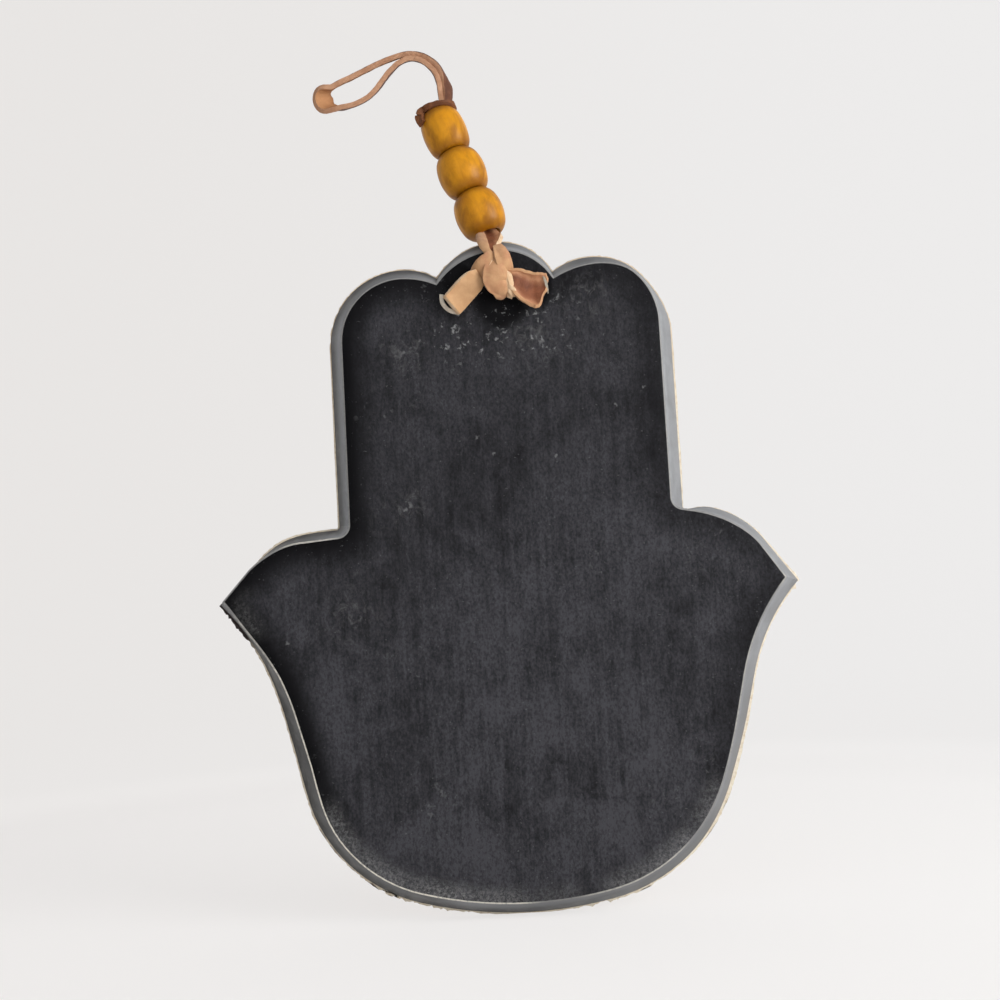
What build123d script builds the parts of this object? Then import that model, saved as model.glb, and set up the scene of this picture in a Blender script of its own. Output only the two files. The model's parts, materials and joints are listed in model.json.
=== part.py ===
from build123d import *
import math
import os

# Hamsa plaque hung from a leather lace with three wooden beads.
# Millimetres. +Z is up the hand, +X to the right of the black painted back,
# which faces -Y. The origin is the middle of the bare front face, at Y = 0.

# Plaque: a thin front facing on a thicker sawn board with an undercut edge
facing_thickness = 0.7
board_thickness = 6.3
bevel_run = 3.1
top_z = 74.8
top_x = 1.0
bottom_z = -75.0
hole_diameter = 5.0
hole_drop = 9.8

# Outline of the front face, shared by both sides
notch_x = 13.1
notch_z = 67.2
notch_bevel_run = 2.45
finger_round = 17.0
root_round = 0.8
thumb_round = 20.0
base_radius = 90.0
flank_radius = 120.0
flank_length = 9.0

# The plaque is sawn by hand, so its two sides differ a little
left_side_x = 37.9
left_finger_z = 69.6
left_thumb_z = 11.4
left_knee_x = 52.2
left_tip_x = 65.2
left_tip_z = -4.1
left_thumb_bevel_run = 1.8
left_palm_radius = 34.0
left_turns = (15.5, 56.5, 6.0)
right_side_x = 39.2
right_finger_z = 70.2
right_thumb_z = 12.5
right_knee_x = 50.8
right_tip_x = 63.9
right_tip_z = -5.5
right_thumb_bevel_run = 2.8
right_palm_radius = 38.0
right_turns = (12.0, 58.0, 7.0)

# Leather lace, flat, narrower where the beads squeeze it
lace_width = 5.0
lace_thickness = 1.5
squeezed_width = 4.0
strand_gap = 0.1
lace_clearance = 0.15
rim_ease = 0.25

# Bead chain above the rim: it leans to the left and back over the rim
chain_x = -0.8
chain_y = 2.4
chain_rise = 2.5
chain_lean_left = 19.0
chain_lean_back = 8.0
neck_radius = 1.85
bead_diameters = {"lower": 11.3, "middle": 11.2, "upper": 10.3}
bead_end_diameter = 8.4
bead_length = 10.8
bead_bore = 5.8
bead_round = 0.6
bead_clearance = 0.15

# Stop knot on the top bead, and the round root of the loop in its groove
stop_knot_left = 3.6
stop_knot_right = 5.2
stop_knot_depth = 6.4
stop_knot_height = 2.2
stop_knot_round = 0.8
stop_lump_reach = 5.4
stop_lump_depth = 3.4
stop_lump_height = 2.0
stop_lump_round = 0.7
stop_lump_y = -1.6
loop_root_x = 3.4
loop_root_rise = 1.1
loop_root_radius = 1.8

# Hanging loop, X and Z of the lace's middle from its root: up the inner strand,
# out along the lower strand, round the fold and back over the outer strand
loop_route = [
    (-0.95, 0.0),
    (-1.0, 3.6),
    (-3.2, 7.2),
    (-7.0, 9.3),
    (-11.0, 8.3),
    (-14.6, 4.2),
    (-18.2, 1.0),
    (-23.6, -0.6),
    (-27.6, -0.9),
    (-29.8, 0.6),
    (-29.6, 3.2),
    (-27.0, 4.6),
    (-24.3, 5.0),
    (-20.0, 6.3),
    (-13.2, 9.8),
    (-7.2, 11.5),
    (-1.9, 8.8),
    (0.95, 3.8),
    (0.95, 0.0),
]
corner_share = 0.45

# Tie knot on the black face, and its two tails, placed from the knot's middle
knot_x = 0.1
knot_rise = 1.2
knot_turn_round = 0.7
left_turn = {"x": -2.6, "z": 1.7, "long": 6.8, "wide": 4.6, "angle": 48.0, "high": 2.9}
right_turn = {"x": 2.5, "z": 1.9, "long": 7.6, "wide": 4.2, "angle": 108.0, "high": 2.9}
front_turn = {"x": 0.0, "z": -2.0, "long": 7.4, "wide": 4.8, "angle": 84.0, "high": 4.4}
strand_end_rise = 3.4
left_tail = {"root": (-2.7, -1.0), "end": (-10.5, -7.8), "root_wide": 4.8, "end_wide": 5.6}
right_tail = {"root": (2.3, -0.2), "end": (10.7, -5.8), "root_wide": 3.6, "end_wide": 6.8}


# Faces of the plaque and places on the chain that follow from the sizes above
plaque_thickness = facing_thickness + board_thickness
hole_z = top_z - hole_drop
knot_z = hole_z + knot_rise
chain_z = top_z + chain_rise
bead_pitch = bead_length + bead_clearance
chain_top = bead_clearance + len(bead_diameters) * bead_pitch
lean = math.radians(chain_lean_left)
back = math.radians(chain_lean_back)
chain_frame = Plane(
    origin=(chain_x, chain_y, chain_z),
    x_dir=(math.cos(lean), 0, math.sin(lean)),
    z_dir=(-math.sin(lean) * math.cos(back), math.sin(back), math.cos(lean) * math.cos(back)),
)
loop_root = chain_frame.from_local_coords(
    Vector(loop_root_x, 0, chain_top + stop_knot_height + loop_root_rise)
)
knot_face = Plane((knot_x, -plaque_thickness - lace_clearance, knot_z), x_dir=(1, 0, 0), z_dir=(0, -1, 0))


def inset_corner(point, heading_in, heading_out, inset_in, inset_out):
    """The corner moved inwards from the two edges that meet there."""
    turn = heading_in.X * heading_out.Y - heading_in.Y * heading_out.X
    return point + (heading_out * inset_in - heading_in * inset_out) / turn


def half_outline(side_x, finger_z, thumb_z, knee_x, tip, palm_radius, turns, run, notch_run, thumb_run):
    """Right half of the outline, from the middle of the base up to the notch."""
    tip, knee, root = Vector(*tip), Vector(knee_x, thumb_z), Vector(side_x, thumb_z)

    def palm(inset):
        base = JernArc((0, bottom_z + inset), (1, 0), base_radius - inset, turns[0])
        side = JernArc(base @ 1, base % 1, palm_radius - inset, turns[1])
        bow = JernArc(side @ 1, side % 1, flank_radius - inset, turns[2])
        flank = Line(bow @ 1, bow @ 1 + (bow % 1) * flank_length)
        return base, side, bow, flank

    far_flank = palm(0)[-1]
    under = TangentArc(far_flank @ 1, tip, tangent=far_flank % 1) % 1
    rise, inward, up = (knee - tip).normalized(), Vector(-1, 0), Vector(0, 1)
    base, side, bow, flank = palm(run)
    tip = inset_corner(tip, under, rise, run, thumb_run)
    knee = inset_corner(knee, rise, inward, thumb_run, thumb_run)
    root = inset_corner(root, inward, up, thumb_run, run)
    finger_start = Vector(side_x - run, finger_z - finger_round)
    thumb = FilletPolyline(
        tip, knee, root, finger_start, radius=[thumb_round - thumb_run, root_round + thumb_run]
    )
    finger = JernArc(finger_start, (0, 1), finger_round - run, 90)
    return [
        base,
        side,
        bow,
        flank,
        TangentArc(flank @ 1, tip, tangent=flank % 1),
        *thumb.edges(),
        finger,
        TangentArc(finger @ 1, (notch_x, notch_z - notch_run), tangent=(-1, 0)),
    ]


def outline(run, notch_run, left_thumb_run, right_thumb_run):
    """Outline of the hand, drawn in by the given runs, as a face in X and Z."""
    right = half_outline(
        right_side_x,
        right_finger_z,
        right_thumb_z,
        right_knee_x,
        (right_tip_x, right_tip_z),
        right_palm_radius,
        right_turns,
        run,
        notch_run,
        right_thumb_run,
    )
    left = half_outline(
        left_side_x,
        left_finger_z,
        left_thumb_z,
        left_knee_x,
        (left_tip_x, left_tip_z),
        left_palm_radius,
        left_turns,
        run,
        notch_run,
        left_thumb_run,
    )
    top = (top_x, top_z - run)
    middle = [
        TangentArc(top, (notch_x, notch_z - notch_run), tangent=(1, 0)),
        TangentArc(top, (-notch_x, notch_z - notch_run), tangent=(-1, 0)),
    ]
    return make_face(right + middle + [mirror(edge, about=Plane.YZ) for edge in left])


def hang_hole():
    """Drill for the hang hole, right through the plaque."""
    drill = Cylinder(hole_diameter / 2, 2 * plaque_thickness)
    return Pos(0, -plaque_thickness / 2, hole_z) * Rot(90, 0, 0) * drill


def plaque():
    """Front facing, and the board with its edge cut back towards the black face."""
    front = Plane.XZ * outline(0, 0, 0, 0)
    facing = extrude(front, facing_thickness, dir=(0, -1, 0))
    back_face = outline(bevel_run, notch_bevel_run, left_thumb_bevel_run, right_thumb_bevel_run)
    board = loft(
        [Pos(0, -facing_thickness, 0) * front, Pos(0, -plaque_thickness, 0) * (Plane.XZ * back_face)],
        ruled=True,
    )
    return facing - hang_hole(), board - hang_hole()


def bead(index, diameter):
    """Barrel bead, turned round the lace, with eased ends."""
    low = bead_clearance + index * bead_pitch
    high = low + bead_length
    end, belly, bore = bead_end_diameter / 2, diameter / 2, bead_bore / 2
    outside = ThreePointArc((end, low), (belly, (low + high) / 2), (end, high))
    inside = Polyline((end, high), (bore, high), (bore, low), (end, low))
    turned = revolve(Plane.XZ * make_face([outside, inside]), Axis.Z)
    rims = turned.edges().filter_by(GeomType.CIRCLE)
    return chain_frame * fillet(rims, bead_round)


def bead_lace():
    """The two strands of the lace side by side through the beads."""
    start = neck_radius + lace_clearance
    strand = Box(squeezed_width, lace_thickness, chain_top - start)
    step = (lace_thickness + strand_gap) / 2
    middle = (chain_top + start) / 2
    return [chain_frame * Pos(0, offset, middle) * strand for offset in (-step, step)]


def stop_knot():
    """Lace wrapped over the top bead, with a lump to the left and a groove for the loop."""
    wide = stop_knot_left + stop_knot_right
    middle_x = (stop_knot_right - stop_knot_left) / 2
    wrap = Box(wide, stop_knot_depth, stop_knot_height)
    wrap = fillet(wrap.edges(), stop_knot_round)
    wrap = Pos(middle_x, 0, chain_top + stop_knot_height / 2) * wrap
    lump_wide = stop_lump_reach - stop_knot_left + 2 * stop_knot_round
    lump = fillet(Box(lump_wide, stop_lump_depth, stop_lump_height).edges(), stop_lump_round)
    lump_x = lump_wide / 2 - stop_lump_reach
    lump = Pos(lump_x, stop_lump_y, chain_top + stop_lump_height / 2) * lump
    groove = Cylinder(loop_root_radius + lace_clearance, 2 * stop_knot_depth)
    groove = Pos(loop_root) * Rot(90, 0, 0) * groove
    return chain_frame * (wrap + lump) - groove


def lace_path(points):
    """Straight runs joined by arcs as large as the runs on both sides allow."""
    points = [Vector(*point) for point in points]
    radii = []
    for before, here, after in zip(points, points[1:], points[2:]):
        turn = (here - before).get_angle(after - here)
        run = min((here - before).length, (after - here).length)
        radii.append(corner_share * run / math.tan(math.radians(turn / 2)))
    return FilletPolyline(*points, radius=radii), radii


def hanging_loop():
    """The lace folded into a loop, both strands rooted in the stop knot's groove."""
    path, radii = lace_path(loop_route)
    section = Plane(path @ 0, x_dir=(0, 0, 1), z_dir=path % 0)
    strap = sweep(section * Rectangle(lace_width, lace_thickness), path=path)
    strap_volume = path.length * lace_width * lace_thickness
    print("loop lace length", round(path.length, 1), "least radius", round(min(radii), 2))
    print("loop volume over section times length", round(strap.volume / strap_volume, 4))
    root = Cylinder(loop_root_radius, lace_width)
    return Pos(loop_root) * (Plane.XZ * (strap + root))


def near_strand():
    """Strand over the rim and down the bevel to the knot on the black face."""
    lift = lace_clearance + lace_thickness / 2
    slope = math.atan2(bevel_run, board_thickness)
    rise, reach = lift * math.cos(slope), lift * math.sin(slope)
    rim_y, rim_z = -facing_thickness - reach, top_z + rise + rim_ease
    face_y = -plaque_thickness - lift
    face_z = top_z + rise - (rim_y - face_y) * math.tan(slope)
    end_z = knot_z + strand_end_rise
    route = [(chain_y, rim_z), (rim_y, rim_z), (face_y, face_z), (face_y, end_z)]
    path, _ = lace_path(route)
    section = Plane(path @ 0, x_dir=(0, 0, 1), z_dir=path % 0)
    strap = sweep(section * Rectangle(lace_width, lace_thickness), path=path)
    neck_room = Pos(chain_frame.origin) * Sphere(neck_radius + lace_clearance)
    return Pos((chain_x + knot_x) / 2, 0, 0) * (Plane.YZ * strap) - neck_room


def far_strand():
    """Strand down the front face from the rim to the hang hole, and through the hole."""
    top = chain_z - neck_radius - lace_clearance
    strap = Box(lace_width, lace_thickness, top - hole_z)
    strap = strap + Pos(0, 0, (hole_z - top) / 2) * Rot(90, 0, 0) * Cylinder(
        lace_width / 2, lace_thickness
    )
    strap = Pos(0, lace_clearance + lace_thickness / 2, (top + hole_z) / 2) * strap
    pass_length = plaque_thickness + 2 * lace_clearance
    plug = Cylinder(hole_diameter / 2 - lace_clearance, pass_length)
    return strap + Pos(0, lace_clearance - pass_length / 2, hole_z) * Rot(90, 0, 0) * plug


def knot_turn(turn):
    """One turn of the lace in the tie knot, lying flat on the black face."""
    slab = extrude(SlotOverall(turn["long"], turn["wide"], rotation=turn["angle"]), turn["high"])
    slab = fillet(slab.faces().sort_by(Axis.Z)[-1].edges(), knot_turn_round)
    return knot_face * Pos(turn["x"], turn["z"], 0) * slab


def tail(shape):
    """Flat lace end lying on the black face, wider at its cut end."""
    root, end = Vector(*shape["root"]), Vector(*shape["end"])
    along = (end - root).normalized()
    across = Vector(-along.Y, along.X)
    corners = [
        root + across * (shape["root_wide"] / 2),
        end + across * (shape["end_wide"] / 2),
        end - across * (shape["end_wide"] / 2),
        root - across * (shape["root_wide"] / 2),
    ]
    slab = extrude(make_face(Polyline(*corners, close=True)), lace_thickness, dir=(0, 0, 1))
    return knot_face * slab


facing_solid, board_solid = plaque()
far_solid = far_strand()
knot_solid = knot_turn(left_turn) + knot_turn(right_turn) + knot_turn(front_turn)
nodes = {
    "front_facing": facing_solid,
    "board": board_solid,
    "lace_neck": Pos(chain_frame.origin) * Sphere(neck_radius),
    "bead_lace": Compound(bead_lace()),
    "stop_knot": stop_knot(),
    "hanging_loop": hanging_loop(),
    "near_strand": near_strand() - knot_solid - far_solid,
    "far_strand": far_solid,
    "tie_knot": knot_solid,
    "left_tail": tail(left_tail) - knot_solid,
    "right_tail": tail(right_tail) - knot_solid,
}
for index, (place, diameter) in enumerate(bead_diameters.items()):
    nodes[place + "_bead"] = bead(index, diameter)

os.makedirs("parts", exist_ok=True)
for name, solid in nodes.items():
    export_step(solid, f"parts/{name}.step")
print("chain axis", [round(value, 4) for value in chain_frame.z_dir])
print("tip axis", [round(value, 4) for value in chain_frame.x_dir])
print("loop root", [round(value, 3) for value in loop_root])
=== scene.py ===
import json
import math
import bpy
from mathutils import Euler, Matrix, Vector, kdtree, noise


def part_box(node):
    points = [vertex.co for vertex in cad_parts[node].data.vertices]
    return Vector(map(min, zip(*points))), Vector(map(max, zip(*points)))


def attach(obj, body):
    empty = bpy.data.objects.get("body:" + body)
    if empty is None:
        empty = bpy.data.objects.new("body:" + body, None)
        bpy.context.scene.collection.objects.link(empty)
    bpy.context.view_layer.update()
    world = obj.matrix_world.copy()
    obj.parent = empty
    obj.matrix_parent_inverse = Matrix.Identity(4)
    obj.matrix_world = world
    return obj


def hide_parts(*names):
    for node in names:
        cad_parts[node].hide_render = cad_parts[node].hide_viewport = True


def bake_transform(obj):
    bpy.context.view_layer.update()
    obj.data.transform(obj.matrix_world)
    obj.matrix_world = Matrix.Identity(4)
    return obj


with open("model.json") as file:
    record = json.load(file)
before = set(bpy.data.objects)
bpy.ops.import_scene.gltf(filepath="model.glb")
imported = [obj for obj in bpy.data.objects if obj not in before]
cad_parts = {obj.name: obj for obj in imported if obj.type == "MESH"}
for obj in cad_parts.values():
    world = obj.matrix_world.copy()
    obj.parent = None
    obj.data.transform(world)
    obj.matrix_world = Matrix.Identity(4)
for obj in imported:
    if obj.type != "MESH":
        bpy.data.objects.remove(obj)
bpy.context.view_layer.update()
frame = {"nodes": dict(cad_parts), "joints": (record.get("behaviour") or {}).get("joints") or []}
joints = {joint["name"]: joint for joint in frame["joints"]}
mm = 0.001
print("frame loaded:", len(frame["nodes"]), "nodes")

# the hanger's own axes: base on the rim, sideways, back, and up the beads
chainBase = Vector(joints["hanger_swing"]["pos_m"])
chainSide = Vector(joints["hanger_tip"]["axis"]).normalized()
chainUp = Vector(joints["lower_bead_spin"]["axis"]).normalized()
chainBack = chainUp.cross(chainSide)
loopRoot = Vector(joints["loop_flop"]["pos_m"])
boardLow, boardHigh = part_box("board")
backFace = boardLow.y  # the black face, towards the camera
beadNames = ("lower_bead", "middle_bead", "upper_bead")


def onChain(point):  # millimetres along the hanger's own axes
    x, y, z = point
    return chainBase + (chainSide * x + chainBack * y + chainUp * z) * mm


def inMetres(point):
    return Vector(point) * mm


# camera, at the photograph's place and lens
view = {
    "place": (-0.5, -312, -4.1), "pitch": 3.72, "yaw": 0.2, "roll": 3.2, "lens": 50, "sensor": 36, "clip": (0.01, 20),
}


def setCamera():
    lens = bpy.data.cameras.new("camera")
    lens.lens, lens.sensor_width = view["lens"], view["sensor"]
    lens.clip_start, lens.clip_end = view["clip"]
    camera = bpy.data.objects.new("camera", lens)
    bpy.context.scene.collection.objects.link(camera)
    turn = Euler((math.radians(90 + view["pitch"]), 0, math.radians(view["yaw"]))).to_matrix()
    turn = turn @ Matrix.Rotation(-math.radians(view["roll"]), 3, "Z")
    camera.matrix_world = Matrix.Translation(inMetres(view["place"])) @ turn.to_4x4()
    bpy.context.scene.camera = camera


setCamera()
print("camera set")


# small helpers for shader nodes
def newFinish(name):
    finish = bpy.data.materials.new(name)
    finish.use_nodes = True
    tree = finish.node_tree
    return finish, tree, tree.nodes["Principled BSDF"]


def feed(tree, socket, value):
    if isinstance(value, bpy.types.NodeSocket):
        tree.links.new(value, socket)
    else:
        socket.default_value = value


def newNode(tree, kind, values, **settings):
    node = tree.nodes.new("ShaderNode" + kind)
    for name, setting in settings.items():
        setattr(node, name, setting)
    for name, value in values.items():
        feed(tree, node.inputs[name], value)
    return node


def place(tree, scale=(1, 1, 1), turn=(0, 0, 0), shift=(0, 0, 0)):  # object coordinates, in millimetres
    return newNode(tree, "Mapping", {
        "Vector": newNode(tree, "TexCoord", {}).outputs["Object"],
        "Scale": [s / mm for s in scale],
        "Rotation": [math.radians(t) for t in turn],
        "Location": shift,
    }).outputs["Vector"]


def cloud(tree, where, scale, detail=4.0, rough=0.55, warp=0.0):
    values = {"Vector": where, "Scale": scale, "Detail": detail, "Roughness": rough, "Distortion": warp}
    return newNode(tree, "TexNoise", values).outputs["Fac"]


def cells(tree, where, scale):  # how far a place is from the wall of its cell
    node = newNode(tree, "TexVoronoi", {"Vector": where, "Scale": scale}, feature="DISTANCE_TO_EDGE")
    return node.outputs["Distance"]


def spread(tree, value, low, high, first=0.0, last=1.0):  # smooth step from low to high
    values = {"Value": value, "From Min": low, "From Max": high, "To Min": first, "To Max": last}
    return newNode(tree, "MapRange", values, interpolation_type="SMOOTHSTEP").outputs["Result"]


def sums(tree, kind, first, second=0.0):
    return newNode(tree, "Math", {0: first, 1: second}, operation=kind).outputs["Value"]


def times(tree, first, *others):
    for other in others:
        first = sums(tree, "MULTIPLY", first, other)
    return first


def plus(tree, first, second):
    return sums(tree, "ADD", first, second)


def larger(tree, first, second):
    return sums(tree, "MAXIMUM", first, second)


def blendColour(tree, share, *colours):
    first, second = (c if isinstance(c, bpy.types.NodeSocket) else (*c, 1) for c in colours)
    return newNode(tree, "Mix", {0: share, 6: first, 7: second}, data_type="RGBA").outputs[2]


def shaded(tree, value, span, first, second):  # from one colour to another as a value crosses its span
    return blendColour(tree, spread(tree, value, *span), first, second)


def coat(tree, shader, look, colour, rough, height):  # a finish's colour, roughness, shine and relief
    strength, depth = look["relief"]
    bump = newNode(tree, "Bump", {"Strength": strength, "Distance": depth * mm, "Height": height})
    values = {"Base Color": colour, "Roughness": rough, "Normal": bump.outputs["Normal"]}
    for name, value in values.items():
        feed(tree, shader.inputs[name], value)
    shader.inputs["Specular IOR Level"].default_value = look.get("specular", 0.5)


def wobbled(tree, reach, scale):  # object coordinates pushed about, for broken outlines
    push = newNode(tree, "TexNoise", {"Vector": place(tree), "Scale": scale, "Detail": 3}).outputs["Color"]
    values = {0: push, 1: [reach * 2] * 3, 2: place(tree, shift=[-reach] * 3)}
    return newNode(tree, "VectorMath", values, operation="MULTIPLY_ADD").outputs["Vector"]


def nearPoint(tree, middle, reach, fade, where=None):  # 1 near a place on the object, fading out, in millimetres
    offset = newNode(tree, "VectorMath", {0: where or place(tree), 1: middle}, operation="DISTANCE")
    return spread(tree, offset.outputs["Value"], reach, reach + fade, 1, 0)


def spotted(tree, spots, inner, fade, least=0.0):  # the strongest of some soft spots: x, y, z, reach and share
    strongest = least
    for *middle, reach, share in spots:
        spot = times(tree, nearPoint(tree, middle, reach * inner, reach * fade), share)
        strongest = larger(tree, spot, strongest)
    return strongest


def axisValue(tree, name):  # one object coordinate, in millimetres
    return newNode(tree, "SeparateXYZ", {"Vector": place(tree)}).outputs[name]


def ownValue(tree, name):  # a number kept on the piece's own points
    return newNode(tree, "Attribute", {}, attribute_name=name).outputs["Fac"]


# black paint of the back: matt and cloudy, with chalky dust and flecks, blacker towards the rim, with painted shade
# round the knot
# a row of four is a value's range and what it gives; places are x, y, z, with y on the black face
paint = {
    "black": (0.0022, 0.0022, 0.003),
    "worn": (0.0565, 0.0565, 0.065),
    "dust": (0.21, 0.21, 0.213),
    "fleck": (0.27, 0.275, 0.28),
    "rough": (0.3, 0.7, 0.6, 0.82),
    "specular": 0.1,
    "relief": (0.3, 0.12),
    "patches": (0.3, 0.7, 0.02, 0.43),
    "mottle": (0.3, 0.7, 0.05, 0.45),
    "streaks": (0.28, 0.75, 0.02, 0.27),
    "grit": (0.32, 0.7, 0.5, 1.5),
    "lowDown": (40, -60, 0.8, 1.3),  # paler low down
    "margin": (9, 0.3),
    "marginAcross": (-40, 36, 1.0, 0.6),
    "marginHeight": (-66, -40, 0.35, 1),
    "wisps": (0.48, 0.74),
    "smearShare": 0.4,
    "rimBand": (0.4, 5, 1, 0),
    "powder": (0.42, 0.64, 0.12, 1),
    "crumbs": (0.595, 0.72),
    "specks": (0.69, 0.77, 0, 0.22),
    "stray": (0.56, 0.74, 0, 0.22),
    "fieldX": (0, 11, 23),  # flecks below the knot: middle, and the offsets at which they thin out and end
    "fieldZ": (55, 5, 12),
    "fieldShare": 0.75,
    "nickShare": 0.38,
    # painted shade on the face round the knot
    "knotShade": [(1, -7, 59.5, 4), (9, -7, 62.5, 3), (-9, -7, 66, 3)],
    "rimDust": [
        (-38, -7, -54, 8, 0.75), (-30, -7, -62, 9, 0.9), (-19, -7, -69, 10, 1.0), (-7, -7, -72, 9, 0.8),
        (6, -7, -72, 7, 0.4), (23, -7, -69, 8, 0.7), (31, -7, -62, 8, 0.8), (40, -7, -53, 7, 0.55),
        (-56, -7, -6, 6, 0.4),
    ],
    "smears": [
        (-21, -7, 15.5, 5), (-27.5, -7, 13, 4), (-21, -7, 49, 6), (9, -7, 50, 8), (-36, -7, -8, 8), (20, -7, 60, 7),
    ],
    "nicks": [
        (-5.9, -7, 30, 0.42), (-2.3, -7, 26.2, 0.42), (11.3, -7, 24.8, 0.42), (31.6, -7, 39, 0.4),
        (25.2, -7, 35.5, 0.4), (-21.2, -7, 15.5, 0.7), (-22.6, -7, 14.8, 0.5), (9.4, -7, 50.3, 0.6),
        (-21, -7, 49.6, 0.5), (-50, -7, -13, 0.5),
    ],
}


def blackPaint():
    finish, tree, shader = newFinish("blackPaint")
    flat = place(tree)
    rimGap = ownValue(tree, "rimGap")
    across, height = axisValue(tree, "X"), axisValue(tree, "Z")
    patches = spread(tree, cloud(tree, flat, 0.05, 4, 0.55, 0.6), *paint["patches"])
    mottle = spread(tree, cloud(tree, place(tree, (1, 1, 0.5)), 0.3, 8, 0.75, 0.5), *paint["mottle"])
    streaks = cloud(tree, place(tree, (1.4, 1, 0.05)), 0.55, 5, 0.6)
    grit = cloud(tree, place(tree, (1.15, 1, 0.75)), 1.6, 6, 0.75)
    tone = plus(tree, plus(tree, patches, mottle), spread(tree, streaks, *paint["streaks"]))
    tone = times(tree, tone, spread(tree, grit, *paint["grit"]), spread(tree, height, *paint["lowDown"]))
    margin = times(tree, spread(tree, rimGap, *paint["margin"]), spread(tree, across, *paint["marginAcross"]))
    margin = times(tree, margin, spread(tree, height, *paint["marginHeight"]))
    # painted shade round the knot darkens the face, as the rim margin does
    for *middle, reach in paint["knotShade"]:
        margin = larger(tree, margin, nearPoint(tree, middle, reach, reach, wobbled(tree, 2.0, 0.3)))
    tone = times(tree, tone, sums(tree, "SUBTRACT", 1, margin))
    colour = blendColour(tree, tone, paint["black"], paint["worn"])
    smear = 0.0
    for *middle, reach in paint["smears"]:
        smear = plus(tree, nearPoint(tree, middle, reach * 0.2, reach), smear)
    wisps = spread(tree, cloud(tree, place(tree, (1, 1, 0.7)), 0.45, 7, 0.72, 1.2), *paint["wisps"])
    colour = blendColour(tree, times(tree, smear, wisps, paint["smearShare"]), colour, paint["dust"])
    powder = spread(tree, cloud(tree, flat, 1.3, 8, 0.85), *paint["powder"])
    powder = times(tree, spotted(tree, paint["rimDust"], 0.4, 0.8), powder, spread(tree, rimGap, *paint["rimBand"]))
    colour = blendColour(tree, powder, colour, paint["dust"])
    crumbs = spread(tree, cloud(tree, place(tree, (1, 1, 0.9)), 0.66, 3, 0.62, 0.35), *paint["crumbs"])
    specks = spread(tree, cloud(tree, flat, 1.9, 2, 0.5), *paint["specks"])
    field = paint["fieldShare"]
    for value, (middle, thin, end) in ((across, paint["fieldX"]), (height, paint["fieldZ"])):
        offset = sums(tree, "ABSOLUTE", sums(tree, "SUBTRACT", value, middle))
        field = times(tree, spread(tree, offset, thin, end, 1, 0), field)
    stray = spread(tree, cloud(tree, flat, 0.07, 2, 0.5), *paint["stray"])
    flecks = larger(tree, times(tree, crumbs, larger(tree, field, stray)), specks)
    broken = wobbled(tree, 0.9, 1.1)
    for *middle, size in paint["nicks"]:
        nick = nearPoint(tree, middle, size * 0.3, size, broken)
        flecks = larger(tree, flecks, times(tree, nick, paint["nickShare"]))
    colour = blendColour(tree, flecks, colour, paint["fleck"])
    bumps = plus(tree, plus(tree, times(tree, streaks, 0.5), grit), flecks)
    coat(tree, shader, paint, colour, spread(tree, grit, *paint["rough"]), bumps)
    return finish


# sawn edge of the board: thin rubbed paint, paler towards the black face, with saw marks; paler all over towards the
# right as painted light, and darker in spots as painted shade
edge = {
    "grey": (0.045, 0.046, 0.049),
    "pale": (0.3, 0.311, 0.328),
    "paintedShade": (0.013, 0.012, 0.011),
    "rough": (0.3, 0.7, 0.37, 0.59),
    "specular": 0.28,
    "relief": (0.3, 0.1),
    "near": (-1.0, -6.4),
    "litFromRight": (-20, 34, 0.14, 0.86),  # towards the right it is paler all over: painted light, as if lit from the right
    "rubbed": (0.25, 0.72, 0.6, 1.05),
    "marks": (0.52, 0.78, 0, 0.25),
    # spots of painted shade on the bevel, most of them on the left and low down
    "black": [
        (-57, -4, -15, 18, 0.85), (-51, -4, -38, 22, 0.85), (-41, -4, -57, 16, 0.82), (-27, -4, -68, 14, 0.7),
        (-50, -4, 7, 13, 0.75), (-28, -4, 68, 14, 0.42), (24, -4, 68, 9, 0.45), (48, -4, -42, 22, 0.25),
        (33, -4, -62, 18, 0.4), (8, -4, -74, 22, 0.35),
    ],
}


def sawnEdge():
    finish, tree, shader = newFinish("sawnEdge")
    marks = cloud(tree, place(tree, (1, 0.12, 1)), 1.5, 5, 0.6)
    rubbed = cloud(tree, place(tree), 0.22, 5, 0.65, 0.5)
    near = spread(tree, axisValue(tree, "Y"), *edge["near"])
    # painted light: the bevel's right side is made paler, as if lit from the right
    near = larger(tree, near, spread(tree, axisValue(tree, "X"), *edge["litFromRight"]))
    wearAndLight = times(tree, spread(tree, rubbed, *edge["rubbed"]), near)
    colour = blendColour(tree, wearAndLight, edge["grey"], edge["pale"])
    colour = shaded(tree, marks, edge["marks"], colour, paint["dust"])
    # painted shade in spots
    colour = blendColour(tree, spotted(tree, edge["black"], 0.4, 0.8), colour, edge["paintedShade"])
    coat(tree, shader, edge, colour, spread(tree, rubbed, *edge["rough"]), plus(tree, marks, rubbed))
    return finish


# arris between them: rubbed bare in a few places
arris = {
    "bare": (0.86, 0.82, 0.72),
    "paint": (0.17, 0.173, 0.18),
    "rough": 0.5,
    "relief": (0.4, 0.1),
    "nicks": (0.32, 0.55, 0.3, 1),
    "least": 0.1,
    "rubbed": [
        (-44, -7, 9, 7, 0.45), (-56, -7, -13, 10, 0.35), (-52, -7, -27, 12, 0.75), (-47, -7, -42, 12, 0.95),
        (-40, -7, -56, 10, 0.95), (-27, -7, -66, 14, 0.95), (-10, -7, -72, 12, 0.75), (24, -7, -68, 14, 0.4),
        (50, -7, -30, 18, 0.2), (62, -7, -6, 4, 0.3),
    ],
}


def wornArris():
    finish, tree, shader = newFinish("wornArris")
    nicks = cloud(tree, place(tree), 1.3, 4, 0.7)
    rubbed = spotted(tree, arris["rubbed"], 0.6, 0.6, arris["least"])
    bare = times(tree, rubbed, spread(tree, nicks, *arris["nicks"]))
    coat(tree, shader, arris, blendColour(tree, bare, arris["paint"], arris["bare"]), arris["rough"], nicks)
    return finish


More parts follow.
